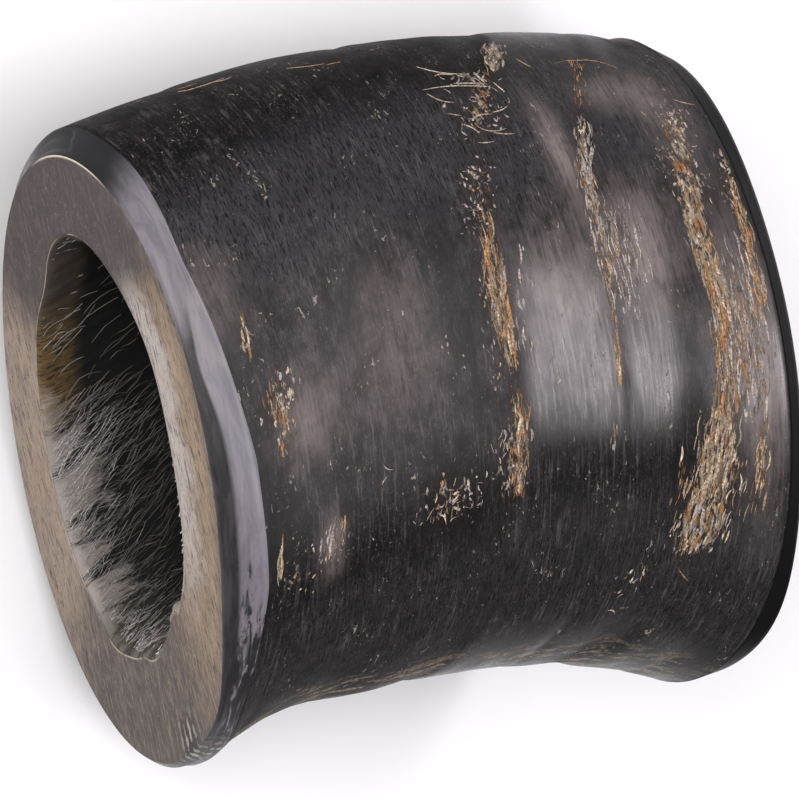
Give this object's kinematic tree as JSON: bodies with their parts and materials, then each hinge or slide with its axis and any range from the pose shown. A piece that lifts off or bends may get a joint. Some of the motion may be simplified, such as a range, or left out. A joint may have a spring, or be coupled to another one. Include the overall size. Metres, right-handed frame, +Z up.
{
  "type": "horn ring",
  "caption": "Short curved length of hollow black buffalo horn, cut and bevelled at both ends, with fibrous growth scale along its growth rings.",
  "frame": {"origin": "centre of the bounding box in plan, at the ground", "axes": "+X along the horn from the narrow cut end to the wide cut end, +Y toward the convex side of the bend, +Z up, the horn lying on its broad side"},
  "size_m": [0.0782, 0.0702, 0.0437],
  "materials": {
    "horn_sheath": "satin, black natural horn with fine scratches",
    "core_lining": "rough, pale fibrous horn",
    "growth_scale": "rough, tan to orange fibrous scale"
  },
  "bodies": {
    "root": {"horn_sheath": "horn_sheath", "core_lining": "core_lining", "growth_scale_1": "growth_scale", "growth_scale_2": "growth_scale", "growth_scale_3": "growth_scale", "growth_scale_4": "growth_scale", "growth_scale_5": "growth_scale"}
  },
  "joints": []
}
